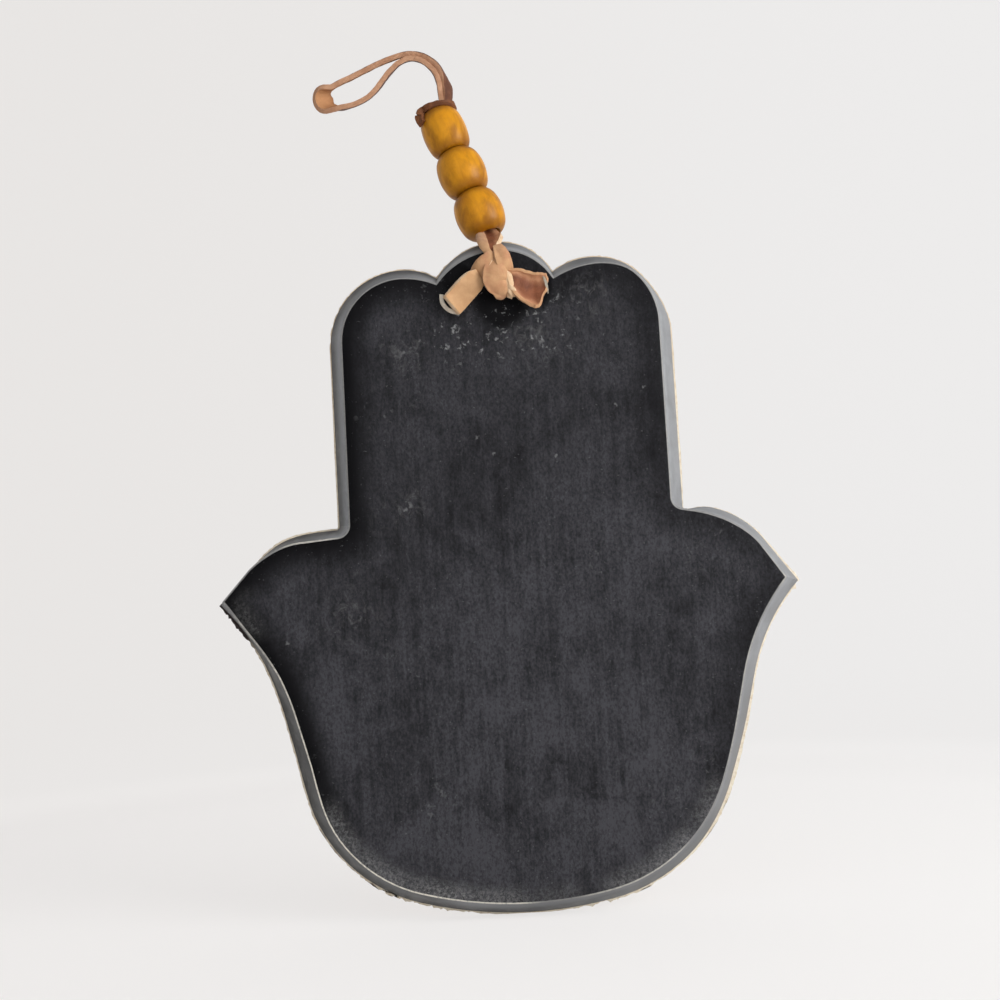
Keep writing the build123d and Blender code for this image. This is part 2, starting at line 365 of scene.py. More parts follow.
# thin facing: plain straight-grained wood in front, cream where it is broken at the rim, browner along the top
wood = {
    "light": (0.62, 0.4, 0.2),
    "dark": (0.4, 0.2, 0.075),
    "rings": 7,
    "ringShare": 0.75,
    "pores": (0.6, 0.72, 0, 0.6),
    "figure": (0.35, 0.7, 0, 0.3),
    "rough": (0.4, 0.7, 0.42, 0.6),
    "relief": (0.25, 0.08),
}
cream = {
    "pale": (0.86, 0.78, 0.64),
    "brown": (0.62, 0.47, 0.31),
    "scorched": (0.022, 0.013, 0.011),
    "scorch": ((-63, -1, -7), 5, 6),
    "fibres": (0.4, 0.75, 0, 0.8),
    "top": (25, 55, 0, 0.6),
    "rough": 0.8,
    "relief": (0.5, 0.2),
}


def frontWood():
    finish, tree, shader = newFinish("frontWood")
    lines = cloud(tree, place(tree, (1, 1, 0.03)), 0.42, 6, 0.6, 0.35)
    pores = cloud(tree, place(tree, (2.4, 1, 0.09)), 1.4, 4, 0.65)
    figure = cloud(tree, place(tree, (1, 1, 0.25)), 0.05, 3, 0.5)
    rings = sums(tree, "FRACT", times(tree, plus(tree, lines, figure), wood["rings"]))
    rings = times(tree, spread(tree, rings, 0, 0.75), spread(tree, rings, 0.86, 1, 1, 0))
    colour = blendColour(tree, times(tree, rings, wood["ringShare"]), wood["light"], wood["dark"])
    colour = shaded(tree, pores, wood["pores"], colour, wood["dark"])
    colour = shaded(tree, figure, wood["figure"], colour, wood["light"])
    coat(tree, shader, wood, colour, spread(tree, pores, *wood["rough"]), sums(tree, "SUBTRACT", rings, pores))
    return finish


def brokenRim():
    finish, tree, shader = newFinish("brokenRim")
    fibres = cloud(tree, place(tree, (1, 3, 1)), 1.1, 5, 0.7)
    dark = nearPoint(tree, *cream["scorch"], wobbled(tree, 1.5, 0.6))
    colour = shaded(tree, fibres, cream["fibres"], cream["pale"], cream["brown"])
    colour = shaded(tree, axisValue(tree, "Z"), cream["top"], colour, cream["brown"])
    colour = blendColour(tree, dark, colour, cream["scorched"])
    coat(tree, shader, cream, colour, cream["rough"], fibres)
    return finish


# lace leather: suede flesh side, smooth grain side rubbed paler at its edges, cut edge; the grain side of the tails
# and near strand is also painted darker down the middle as shade
lace = {
    "width": 5.0,
    "thick": 1.3,
    "flesh": [(0.58, 0.34, 0.178), (0.47, 0.25, 0.128)],
    "tailFlesh": [(0.6, 0.365, 0.196), (0.52, 0.298, 0.15)],
    "grain": [(0.27, 0.093, 0.041), (0.142, 0.043, 0.02)],
    "cut": [(0.82, 0.63, 0.43), (0.66, 0.44, 0.26)],
    "split": [(0.76, 0.69, 0.58), (0.5, 0.43, 0.35)],
    "fibre": [(0.44, 0.4, 0.33), (0.3, 0.26, 0.2)],
    "loopFlesh": [(0.48, 0.245, 0.115), (0.38, 0.18, 0.08)],
    "loopGrain": [(0.15, 0.052, 0.022), (0.085, 0.027, 0.011)],
    "loopCut": [(0.52, 0.295, 0.18), (0.39, 0.2, 0.115)],
    "dark": [(0.2, 0.072, 0.024), (0.115, 0.038, 0.013)],
    "worn": (0.58, 0.29, 0.155),
    "pink": (0.48, 0.205, 0.115),
    "specular": 0.3,
    "sheenRough": 0.5,
    "relief": (0.35, 0.12),
}


def leather(name, shades, rough, nap, rubbed=None, flush=0.0):
    finish, tree, shader = newFinish(name)
    blotch = cloud(tree, place(tree), 0.38, 4, 0.6, 0.4)
    fibre = cloud(tree, place(tree), 4.5, 5, 0.7)
    creases = cells(tree, place(tree), 1.7)
    colour = shaded(tree, blotch, (0.33, 0.68), *shades)
    colour = shaded(tree, fibre, (0.35, 0.75, 0, 0.3), colour, shades[1])
    if flush:
        pink = cloud(tree, place(tree, shift=(3, 1, 7)), 0.3, 3, 0.5, 0.3)
        colour = shaded(tree, pink, (0.48, 0.68, 0, flush), colour, lace["pink"])
    if rubbed:
        worn = sums(tree, "ABSOLUTE", ownValue(tree, "acrossLace"))
        worn = plus(tree, worn, times(tree, sums(tree, "SUBTRACT", blotch, 0.5), 0.8))
        colour = shaded(tree, worn, rubbed, colour, lace["worn"])
    height = plus(tree, times(tree, fibre, 0.8), times(tree, spread(tree, creases, 0, 0.12), 0.35))
    coat(tree, shader, lace, colour, rough, height)
    shader.inputs["Sheen Weight"].default_value = nap
    shader.inputs["Sheen Roughness"].default_value = lace["sheenRough"]
    return finish


# turned beads: honey wood with grain along the bead and a thin satin varnish
honey = {
    "light": (0.67, 0.29, 0.008),
    "mid": (0.44, 0.163, 0.004),
    "dark": (0.17, 0.052, 0.003),
    "rough": (0.3, 0.7, 0.31, 0.46),
    "specular": 0.22,
    "relief": (0.2, 0.1),
    "lines": (0.3, 0.72, 0, 0.5),
    "blotch": (0.42, 0.7, 0, 0.75),
    "stain": (0.44, 0.72, 0, 0.55),
    "endShade": (3.0, 0.2, 0, 0.6),  # darker at the ends: stain, and painted shade where the beads meet
    "pores": (0.62, 0.76, 0, 0.25),
}


def honeyWood(name, seed):
    finish, tree, shader = newFinish(name)
    lean = chainUp.rotation_difference(Vector((0, 0, 1))).to_euler()
    turn = [math.degrees(angle) for angle in lean]
    along = place(tree, (1, 1, 1), turn, (seed * 9.1, seed * 3.7, 0))
    stretch = newNode(tree, "Mapping", {"Vector": along, "Scale": (1, 1, 0.12)}).outputs["Vector"]
    lines = cloud(tree, stretch, 0.75, 5, 0.6, 0.5)
    pores = cloud(tree, stretch, 3.2, 4, 0.65)
    blotch = cloud(tree, along, 0.2, 5, 0.6, 0.8)
    stain = cloud(tree, place(tree, (1, 1, 0.55), turn, (seed * 4.3, seed * 7.9, 2)), 0.3, 3, 0.5, 0.5)
    colour = shaded(tree, lines, honey["lines"], honey["light"], honey["mid"])
    colour = shaded(tree, blotch, honey["blotch"], colour, honey["mid"])
    # stain, painted shade at the ends, and pores darken the wood
    for value, darker in ((stain, "stain"), (ownValue(tree, "endGap"), "endShade"), (pores, "pores")):
        colour = shaded(tree, value, honey[darker], colour, honey["dark"])
    bumps = plus(tree, lines, times(tree, pores, 0.5))
    coat(tree, shader, honey, colour, spread(tree, lines, *honey["rough"]), bumps)
    return finish


finishes = {
    "face": blackPaint(),
    "edge": sawnEdge(),
    "arris": wornArris(),
    "front": frontWood(),
    "rim": brokenRim(),
    "flesh": leather("fleshSide", lace["flesh"], 0.88, 0.12, flush=0.4),
    "tailFlesh": leather("tailFleshSide", lace["tailFlesh"], 0.9, 0.1),
    "grain": leather("grainSide", lace["grain"], 0.55, 0.0, (0.4, 0.95, 0, 0.8)),
    # paler at its edges: rubbed wear, and painted shade down the middle where the strap curls
    "tailGrainShaded": leather("tailGrainSideShaded", lace["grain"], 0.55, 0.0, (0.2, 0.75, 0, 0.9)),
    "cut": leather("cutEdge", lace["cut"], 0.9, 0.1),
    "split": leather("splitEdge", lace["split"], 0.9, 0.0),
    "fibre": leather("looseFibre", lace["fibre"], 0.9, 0.0),
    "loopFlesh": leather("loopFleshSide", lace["loopFlesh"], 0.85, 0.0),
    "loopGrain": leather("loopGrainSide", lace["loopGrain"], 0.6, 0.0),
    "loopCut": leather("loopCutEdge", lace["loopCut"], 0.85, 0.0),
    "dark": leather("darkGrain", lace["dark"], 0.6, 0.0),
}
print("finishes made:", len(finishes))


# modelling helpers
def toEdit():
    bpy.ops.object.mode_set(mode="EDIT")


def toObject():
    bpy.ops.object.mode_set(mode="OBJECT")


def nothingSelected():
    if bpy.context.object and bpy.context.object.mode != "OBJECT":
        toObject()
    bpy.ops.object.select_all(action="DESELECT")


def takeUp(piece):
    nothingSelected()
    bpy.context.view_layer.objects.active = piece
    piece.select_set(True)


def applyAll(piece):
    takeUp(piece)
    for step in list(piece.modifiers):
        bpy.ops.object.modifier_apply(modifier=step.name)


def easeEdges(piece, name, width, angle):
    ease = piece.modifiers.new(name, "BEVEL")
    ease.width, ease.segments = width * mm, 2
    ease.limit_method, ease.angle_limit = "ANGLE", math.radians(angle)


def smoothed(piece, angle):
    takeUp(piece)
    bpy.ops.object.shade_smooth_by_angle(angle=math.radians(angle))


def copyOfNode(node, name):  # a merged copy of a solid's mesh, free of its body
    piece = frame["nodes"][node].copy()
    piece.data = frame["nodes"][node].data.copy()
    piece.name, piece.data.name = name, name
    for key in list(piece.keys()):
        del piece[key]
    piece.parent = None
    bpy.context.scene.collection.objects.link(piece)
    takeUp(piece)
    piece.data.materials.clear()
    toEdit()
    bpy.ops.mesh.select_all(action="SELECT")
    bpy.ops.mesh.remove_doubles(threshold=0.002 * mm)
    bpy.ops.mesh.customdata_custom_splitnormals_clear()
    toObject()
    return piece


def chooseOpenEdges():
    toEdit()
    bpy.ops.mesh.select_mode(type="EDGE")
    bpy.ops.mesh.select_all(action="DESELECT")
    bpy.ops.mesh.select_non_manifold()


def faceOutward():
    bpy.ops.mesh.select_all(action="SELECT")
    bpy.ops.mesh.normals_make_consistent(inside=False)
    toObject()


def giveLooks(piece, looks):
    for look in looks:
        piece.data.materials.append(finishes[look])


def chooseFaces(piece, wanted):
    toEdit()
    bpy.ops.mesh.select_mode(type="FACE")
    bpy.ops.mesh.select_all(action="DESELECT")
    toObject()
    for face in piece.data.polygons:
        face.select = wanted(face)
    toEdit()


# board: the solid's own outline with an eased, rubbed arris round the black face
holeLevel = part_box("far_strand")[0].z + lace["width"] / 2 * mm  # where the lace goes through
boardShape = {
    "ease": 0.36,
    "drop": 0.2,
    "grid": 3.0,
    "holeGap": 6,
    "gapStep": 0.4,
    "smooth": 30,
    "narrow": [  # x, z, reach, and shift of the black face's outline, where the bevel runs out
        (-63.2, -4.2, 16, -1.35, 0), (-57.5, 0.5, 9, -0.5, 0.6), (-60, -10, 14, -1.15, -1.0),
        (-56, -17, 14, -0.7, -0.5), (30, 66, 17, 0.5, 1.0), (-35.5, 28, 38, -0.75, 0), (-44, 9, 9, 0.1, -0.6),
        (57, 1, 15, 0.5, 0.8), (48.5, 8.5, 14, 0.1, 0.4), (-48, -40, 18, 0.8, 0.3), (38.9, 9.8, 11, 0.3, 1.75),
    ],
    "trimmed": [  # the same for the outer outline, where the saw cut a little inside it
        (-54.5, 1.5, 12, 0.8, -0.8), (-46, 8.5, 9, 0.1, -0.45), (37, 62, 13, -0.6, -0.6), (-49, -38, 16, 0.45, 0.15),
        (39.4, 12.6, 6, 0, -0.75), (45, -47, 22, -0.5, 0.2),
    ],
}


def closeness(point, x, z, reach):  # 1 at a place on the outline, 0 beyond its reach in millimetres
    return max(0.0, 1 - Vector((point.x / mm - x, point.z / mm - z)).length / reach)


def trimOutline(point):
    moved = point.copy()
    for x, z, reach, right, up in boardShape["trimmed"]:
        near = closeness(point, x, z, reach)
        moved += inMetres((right, 0, up)) * near * near * (3 - 2 * near)
    return moved


def cutIntoCells(piece):  # a grid over the black face, so that its points can carry their gap to the rim
    for axis, low, high in ((0, boardLow.x, boardHigh.x), (2, boardLow.z, boardHigh.z)):
        across = [0, 0, 0]
        across[axis] = 1
        for step in range(1, int((high - low) / (boardShape["grid"] * mm)) + 1):
            spot = [0, 0, 0]
            spot[axis] = low + step * boardShape["grid"] * mm
            chooseFaces(piece, lambda face: face.normal.y < -0.99)
            bpy.ops.mesh.bisect(plane_co=spot, plane_no=across)
            toObject()


def keepRimGap(piece, hole):
    tree = kdtree.KDTree(40000)
    used = {}
    for face in piece.data.polygons:
        for key in face.edge_keys:
            used.setdefault(key, []).append(face.normal.y < -0.99)
    count = 0
    for (a, b), flats in used.items():
        if any(flats) and not all(flats):
            a, b = piece.data.vertices[a].co, piece.data.vertices[b].co
            if (a - hole).length > boardShape["holeGap"] * mm:
                parts = max(1, int((b - a).length / (boardShape["gapStep"] * mm)))
                for k in range(parts):
                    tree.insert(a.lerp(b, k / parts), count)
                    count += 1
    tree.balance()
    gap = piece.data.attributes.new("rimGap", "FLOAT", "POINT")
    for vertex in piece.data.vertices:
        gap.data[vertex.index].value = tree.find(vertex.co)[2] / mm if vertex.co.y < backFace + 0.01 * mm else 0


def makeBoard():
    piece = copyOfNode("board", "paintedBoard")
    chooseFaces(piece, lambda face: face.normal.y < -0.99)
    bpy.ops.mesh.inset(thickness=boardShape["ease"] * mm, use_even_offset=True)
    toObject()
    inside = {v for face in piece.data.polygons if face.select for v in face.vertices}
    for vertex in piece.data.vertices:
        start = vertex.co.copy()
        forward = (boardHigh.y - start.y) / (boardHigh.y - backFace)  # 0 at the facing, 1 at the black face
        vertex.co = trimOutline(start).lerp(start, forward)
        for x, z, reach, right, up in boardShape["narrow"]:
            vertex.co += inMetres((right, 0, up)) * closeness(start, x, z, reach) ** 1.4 * forward
        if start.y < backFace + 0.01 * mm and vertex.index not in inside:
            vertex.co.y += boardShape["drop"] * mm
    cutIntoCells(piece)
    keepRimGap(piece, Vector((0, backFace, holeLevel)))
    giveLooks(piece, ("edge", "face", "arris"))
    for face in piece.data.polygons:
        if face.normal.y < -0.99:
            face.material_index = 1
        elif face.center.y < backFace + boardShape["drop"] * mm:
            face.material_index = 2
    smoothed(piece, boardShape["smooth"])
    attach(piece, "plaque")
    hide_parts("board")
    return piece


board = makeBoard()
print("board made:", len(board.data.polygons), "faces")


# facing: the thin front layer, a little proud of the board and ragged at its rim
facingShape = {
    "cuts": 6,
    "holeGap": 4,
    "smooth": 25,
    "proud": 0.34,
    "prouder": [(-61, -9, 6, 0.35), (40, 12.5, 8, -0.3), (50, 8, 12, -0.3), (45, -47, 22, 0.5)],
    "topLess": 0.14,
    "topFrom": 25,
    "topSpan": 30,
    "ragged": 0.18,
    "wave": 1.1,
    "fineWave": 3,
    "broken": [(-62, 0, -8, 9, 0.5), (-27, 0, -67, 26, 0.55), (18, 0, -72, 14, 0.5), (63.5, 0, -6, 4, 0.7)],
}


def makeFacing():
    piece = copyOfNode("front_facing", "frontFacing")
    chooseFaces(piece, lambda face: abs(face.normal.y) < 0.5)
    bpy.ops.mesh.select_mode(type="EDGE")
    bpy.ops.mesh.subdivide(number_cuts=facingShape["cuts"])
    faceOutward()
    rim = set()
    for face in piece.data.polygons:
        if abs(face.normal.y) < 0.5:
            rim.update(face.vertices)
    normals = {v.index: v.normal.copy() for v in piece.data.vertices}
    for index in rim:
        vertex = piece.data.vertices[index]
        if (vertex.co - Vector((0, 0, holeLevel))).length < facingShape["holeGap"] * mm:
            continue
        start = vertex.co / mm
        outward = Vector((normals[index].x, 0, normals[index].z)).normalized()
        rough = noise.noise(start * facingShape["wave"]) + 0.5 * noise.noise(start * facingShape["fineWave"])
        ragged = facingShape["ragged"]
        for x, y, z, reach, more in facingShape["broken"]:
            ragged += more * max(0, 1 - (start - Vector((x, y, z))).length / reach)
        high = min(1, max(0, (start.z - facingShape["topFrom"]) / facingShape["topSpan"]))
        proud = facingShape["proud"] - facingShape["topLess"] * high
        for x, z, reach, more in facingShape["prouder"]:
            proud += more * closeness(vertex.co, x, z, reach)
        vertex.co = trimOutline(vertex.co + outward * (proud + ragged * rough) * mm)
    giveLooks(piece, ("front", "rim"))
    for face in piece.data.polygons:
        face.material_index = 0 if face.normal.y > 0.9 else 1
    smoothed(piece, facingShape["smooth"])
    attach(piece, "plaque")
    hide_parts("front_facing")
    return piece


facing = makeFacing()
print("facing made:", len(facing.data.polygons), "faces")


# beads: turned barrels with eased ends, drilled through
beadShape = {
    "sides": 64,
    "rings": 28,
    "end": 4.2,
    "bore": 2.9,
    "roundIn": 1.1,
    "roundAlong": 2.2,
    "long": 10.8,
    "wobble": 0.07,
    "wave": 1.3,
    "lip": 0.08,
    "lipAngle": 50,
    "smooth": 40,
}


def beadRadius(share, belly):  # share runs from 0 at one end of the barrel to 1 at the other
    rise = belly - beadShape["end"]
    half = beadShape["long"] / 2
    arc = (half * half + rise * rise) / (2 * rise)
    off = (share - 0.5) * beadShape["long"]
    radius = belly - arc + math.sqrt(arc * arc - off * off)
    near = min(share, 1 - share) * beadShape["long"] / beadShape["roundAlong"]
    if near < 1:
        radius -= beadShape["roundIn"] * (1 - math.sqrt(max(0, 1 - (1 - near) ** 2)))
    return radius


def makeBead(node, seed):
    low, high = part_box(node)
    middle = (low + high) / 2
    belly = max((vertex.co - middle).cross(chainUp).length for vertex in frame["nodes"][node].data.vertices) / mm
    nothingSelected()
    bpy.ops.mesh.primitive_cylinder_add(
        vertices=beadShape["sides"], radius=belly * mm, depth=beadShape["long"] * mm, end_fill_type="NOTHING"
    )
    piece = bpy.context.object
    piece.name = piece.data.name = node.replace("_b", "B")
    toEdit()
    bpy.ops.mesh.select_mode(type="EDGE")
    toObject()
    for side in piece.data.edges:
        a, b = (piece.data.vertices[i].co for i in side.vertices)
        side.select = abs(a.z - b.z) > mm
    toEdit()
    bpy.ops.mesh.subdivide(number_cuts=beadShape["rings"] - 1)
    toObject()
    for vertex in piece.data.vertices:
        share = vertex.co.z / (beadShape["long"] * mm) + 0.5
        share = 0.5 - 0.5 * math.cos(math.pi * share)  # rings closer together at the ends
        angle, wave = math.atan2(vertex.co.y, vertex.co.x), beadShape["wave"]
        x, y = math.cos(angle), math.sin(angle)
        radius = beadRadius(share, belly)
        radius += beadShape["wobble"] * noise.noise((x * wave + seed * 5, y * wave, share * 2))
        vertex.co = Vector((x * radius, y * radius, (share - 0.5) * beadShape["long"])) * mm
    chooseOpenEdges()
    bpy.ops.mesh.extrude_edges_move()  # end faces, in to the bore
    toObject()
    for vertex in piece.data.vertices:
        if vertex.select:
            flat = Vector((vertex.co.x, vertex.co.y, 0)).normalized() * beadShape["bore"] * mm
            vertex.co.x, vertex.co.y = flat.x, flat.y
    toEdit()
    bpy.ops.mesh.bridge_edge_loops()  # the bore
    faceOutward()
    easeEdges(piece, "boreLip", beadShape["lip"], beadShape["lipAngle"])
    applyAll(piece)
    endGap = piece.data.attributes.new("endGap", "FLOAT", "POINT")
    for vertex in piece.data.vertices:
        endGap.data[vertex.index].value = beadShape["long"] / 2 - abs(vertex.co.z) / mm
    turn = Vector((0, 0, 1)).rotation_difference(chainUp).to_matrix().to_4x4()
    piece.data.transform(Matrix.Translation(middle) @ turn)
    piece.data.materials.append(honeyWood("honeyWood" + str(seed), seed))
    smoothed(piece, beadShape["smooth"])
    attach(piece, node)
    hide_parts(node)
    return piece


beads = [makeBead(node, seed) for seed, node in enumerate(beadNames)]
print("beads turned:", len(beads))


# lace: a flat strap laid along a smooth route
strapShape = {
    "columns": 16,
    "step": 0.4,
    "leastRows": 8,
    "bendSteps": 14,
    "turnFrom": 0.45,  # shares of the half width, where an edge starts to turn up, and over how much
    "turnOver": 0.5,
    "tearFrom": 0.8,
    "fray": 0.03,
    "ripple": 0.1,
    "eased": 0.22,
    "easedAngle": 55,
    "smooth": 60,
}


def routeLine(route):
    curve = bpy.data.curves.new("route", "CURVE")
    curve.dimensions, curve.resolution_u = "3D", 16
    spline = curve.splines.new("NURBS")
    spline.points.add(len(route) - 1)
    for point, where in zip(spline.points, route):
        point.co = (*where, 1)
    spline.order_u = 3
    spline.use_endpoint_u = True
    holder = bpy.data.objects.new("route", curve)
    bpy.context.scene.collection.objects.link(holder)
    bpy.context.view_layer.update()
    mesh = bpy.data.meshes.new_from_object(holder)
    line = [vertex.co.copy() for vertex in mesh.vertices]
    bpy.data.objects.remove(holder)
    bpy.data.meshes.remove(mesh)
    return line


def lengths(line):
    total = [0.0]
    for a, b in zip(line, line[1:]):
        total.append(total[-1] + (b - a).length)
    return total


def between(values, share):  # a value or vector part of the way along a list
    where = share * (len(values) - 1)
    first = min(int(where), len(values) - 2)
    part = where - first
    part = part * part * (3 - 2 * part)
    return values[first] * (1 - part) + values[first + 1] * part


def crossSection(u, half, cup, roll):  # flat in the middle, bowed all over by cup and turned up at the edge by roll
    steps, flat, lift = strapShape["bendSteps"], 0.0, 0.0
    for k in range(steps):
        s = (k + 0.5) / steps * abs(u)
        turned = min(1.0, max(0.0, (s - strapShape["turnFrom"]) / strapShape["turnOver"]))
        angle = math.radians(cup * s + roll * turned * turned * (3 - 2 * turned))
        flat += math.cos(angle) * abs(u) / steps
        lift += math.sin(angle) * abs(u) / steps
    return math.copysign(half * flat, u), half * lift


def layStrap(name, spec, toFrame=inMetres):
    spec = {**strapShape, "thick": lace["thick"], **spec}
    line = routeLine([toFrame(point) for point in spec["route"]])
    along = lengths(line)
    origin = toFrame((0, 0, 0))
    across = [(toFrame(side) - origin).normalized() for side in spec["across"]]
    flat = [0.0, 0.0]
    rows = max(spec["leastRows"], int(along[-1] / (spec["step"] * mm)))
    nothingSelected()
    bpy.ops.mesh.primitive_grid_add(x_subdivisions=spec["columns"], y_subdivisions=rows, size=1)
    strap = bpy.context.object
    strap.name = strap.data.name = name
    sideways = strap.data.attributes.new("acrossLace", "FLOAT", "POINT")
    for vertex in strap.data.vertices:
        u, share = vertex.co.x * 2, min(1.0, max(0.0, vertex.co.y + 0.5))
        sideways.data[vertex.index].value = u
        torn = max(0.0, share - spec["tearFrom"]) / (1 - spec["tearFrom"])
        torn *= 0.5 + noise.noise((u * 2.7, len(name), 3.0))
        reach = max(0.0, share * along[-1] - spec.get("ragged", 0) * torn * mm)
        i = max(1, next((k for k, far in enumerate(along) if far >= reach - 1e-9), len(along) - 1))
        part = (reach - along[i - 1]) / max(1e-9, along[i] - along[i - 1])
        spot = line[i - 1].lerp(line[i], part)
        heading = (line[min(len(line) - 1, i + 1)] - line[max(0, i - 2)]).normalized()
        side = between(across, share)
        side = (side - heading * side.dot(heading)).normalized()
        out = side.cross(heading)
        wave = noise.noise((share * along[-1] / mm * 1.7, 4.0 if u > 0 else 9.0, len(name)))
        half = between(spec["width"], share) / 2 * (1 + spec["fray"] * wave)
        roll = between(spec.get("rollRight" if u > 0 else "rollLeft", flat), share)
        wide, lift = crossSection(u, half, between(spec.get("cup", flat), share), roll)
        lift += spec["ripple"] * noise.noise((spot / mm) * 0.7 + Vector((u * 1.3, len(name), 0)))
        vertex.co = spot + (side * wide + out * lift) * mm
    giveLooks(strap, spec["looks"])
    skin = strap.modifiers.new("skin", "SOLIDIFY")
    skin.thickness, skin.offset = spec["thick"] * mm, 0
    skin.material_offset, skin.material_offset_rim = 1, 2
    easeEdges(strap, "easedEdge", spec["eased"], spec["easedAngle"])
    applyAll(strap)
    smoothed(strap, spec["smooth"])
    return strap, line


def joined(name, straps):
    nothingSelected()
    for strap in straps:
        strap.select_set(True)
    bpy.context.view_layer.objects.active = straps[0]
    bpy.ops.object.join()
    whole = bpy.context.object
    whole.name = whole.data.name = name
    return whole


sides = ("flesh", "grain", "cut")  # looks of a strap's two sides and its edge
allDark = ("dark", "dark", "dark")

# hanging loop, from its root in the stop knot: up the inner strand, out, round the fold and back
loopShape = {
    "route": [
        (-0.7, -2.6), (-1.0, 0.2), (-1.3, 4.0), (-2.9, 7.2), (-6.3, 9.5), (-9.8, 9.0), (-12.9, 6.2), (-15.7, 2.5),
        (-18.7, 0.0), (-22.2, -1.2), (-25.6, -1.7), (-28.2, -1.2), (-28.8, 0.8), (-27.9, 3.0), (-25.2, 4.4),
        (-20.8, 6.2), (-14.0, 9.3), (-7.2, 11.2), (-1.9, 8.7), (0.35, 4.4), (0.9, 0.6), (0.2, -2.6),
    ],
    "across": [(0, 0.94, 0.34)] * 9 + [(0.78, 0.58, 0.24)] * 2 + [(0, 0.94, 0.34)] * 8 + [(0.45, 0.86, 0.2)] * 2,
    "widthShares": (0.7, 1, 1, 1, 1, 1, 1, 1, 0.64),
    "cup": [12, 5, 5, 12],
    "looks": ("loopFlesh", "loopGrain", "loopCut"),
    "thick": 1.15,
    "length": 0.08,
    "bend": (-0.361, -0.317, 0.878),  # the way in which the strands leave the knot
    "bendFrom": -0.8,
    "bendTo": 3.6,
}


def makeLoop():
    root = loopRoot / mm
    strap, line = layStrap("hangingLoop", {
        **loopShape,
        "route": [(root.x + x, root.y, root.z + z) for x, z in loopShape["route"]],
        "width": [lace["width"] * share for share in loopShape["widthShares"]],
    })
    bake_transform(strap)
    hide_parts("hanging_loop")
    return strap, line


loop, loopLine = makeLoop()
print("loop length in mm:", round(lengths(loopLine)[-1] / mm, 1))


# stop knot on the top bead: a dark band round the loop's root, with its end over the bead's left shoulder
beadLow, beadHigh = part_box("upper_bead")
beadTop = ((beadLow + beadHigh) / 2 - chainBase).dot(chainUp) / mm + beadShape["long"] / 2
stopShape = {
    "stopBand": {
        "route": [
            (-2.6, -0.9, 1.2), (-2.2, -2.3, 1.0), (0.2, -3.1, 0.7), (2.5, -3.0, 0.3), (3.9, -1.7, 0.0),
            (4.2, 0.4, -0.1), (3.4, 2.3, 0.3), (0.8, 3.0, 0.7), (-1.8, 2.4, 1.0), (-2.9, 1.0, 1.0), (-2.6, -0.6, 1.3),
        ],
        "across": [(0, 0, 1), (0, 0, 1)], "width": [1.8, 1.7, 1.8, 1.7], "cup": [-25, -25],
        "looks": ("flesh", "dark", "dark"), "thick": 1.2, "ripple": 0.25, "fray": 0.12,
    },
    "stopEnd": {
        "route": [
            (-2.0, -1.4, 1.3), (-3.1, -2.0, 0.9), (-4.0, -2.4, 0.2), (-4.35, -2.7, -0.9), (-4.4, -3.0, -1.9),
            (-4.3, -3.3, -2.6),
        ],
        "across": [(0.2, 0.1, 1), (0.5, 0.2, 0.9), (0.9, -0.5, 0.4)], "width": [1.6, 1.9, 2.2, 1.8],
        "cup": [-20, -20], "looks": allDark, "thick": 0.9, "fray": 0.12,
    },
    "stopCore": {
        "route": [(-2.3, 0, 0.5), (-0.8, 0, 0.8), (1.0, 0, 0.7), (2.4, 0, 0.4), (3.5, 0, 0.0)],
        "across": [(0, 1, 0), (0, 1, 0)], "width": [3.0, 4.6, 5.0, 4.6, 3.4], "looks": allDark, "thick": 1.3,
    },
}


def makeStopKnot():
    straps = []
    for name, shape in stopShape.items():
        route = [(x, y, z + beadTop) for x, y, z in shape["route"]]
        straps.append(layStrap(name, {**shape, "route": route}, onChain)[0])
    knot = joined("stopKnot", straps)
    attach(knot, "chain")
    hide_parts("stop_knot")
    return knot


stopKnot = makeStopKnot()
print("stop knot tied")


# the two strands inside the beads
strandShape = {
    "apart": 0.8,
    "low": 2.3,
    "across": [(1, 0, 0), (1, 0, 0)],
    "width": [4.0, 4.0],
    "looks": ("flesh", "grain", "grain"),
    "step": 1.5,
}


def makeBeadLace():
    straps = []
    for name, offset in (("nearThread", -strandShape["apart"]), ("farThread", strandShape["apart"])):
        route = [(0, offset, strandShape["low"]), (0.05, offset, beadTop * 0.5), (0, offset, beadTop)]
        straps.append(layStrap(name, {**strandShape, "route": route}, onChain)[0])
    thread = joined("beadLace", straps)
    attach(thread, "chain")
    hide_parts("bead_lace")
    return thread


beadLace = makeBeadLace()


# strands over the rim: the near one to the knot on the black face, the far one down the front to the hole
nearShape = {
    "route": [
        (-1.3, 2.2, 78.6), (-1.0, 2.0, 77.9), (-0.6, 1.4, 77.1), (-0.4, -0.6, 76.1), (-0.35, -3.6, 74.9),
        (-0.5, -6.6, 73.0), (-0.55, -8.2, 71.0), (-0.4, -8.9, 69.4), (-0.3, -9.0, 68.0),
    ],
    "across": [(1, 0, 0), (1, 0, 0)], "width": [3.6, 4.4, 5.2, 5.4, 5.4, 5.0, 3.6, 1.8, 0.8], "cup": [-10, -10],
    "rollLeft": [0, 0, -10, -20, -20, -20, -10], "rollRight": [0, 0, -20, -40, -50, -40, -20],
    "looks": ("flesh", "tailGrainShaded", "cut"), "thick": 0.9,
    "bendStart": (-0.6, 0.2, 75.4), "bendEnd": (-0.8, 2.2, 77.4),  # both strands bend here as the hanger moves
}
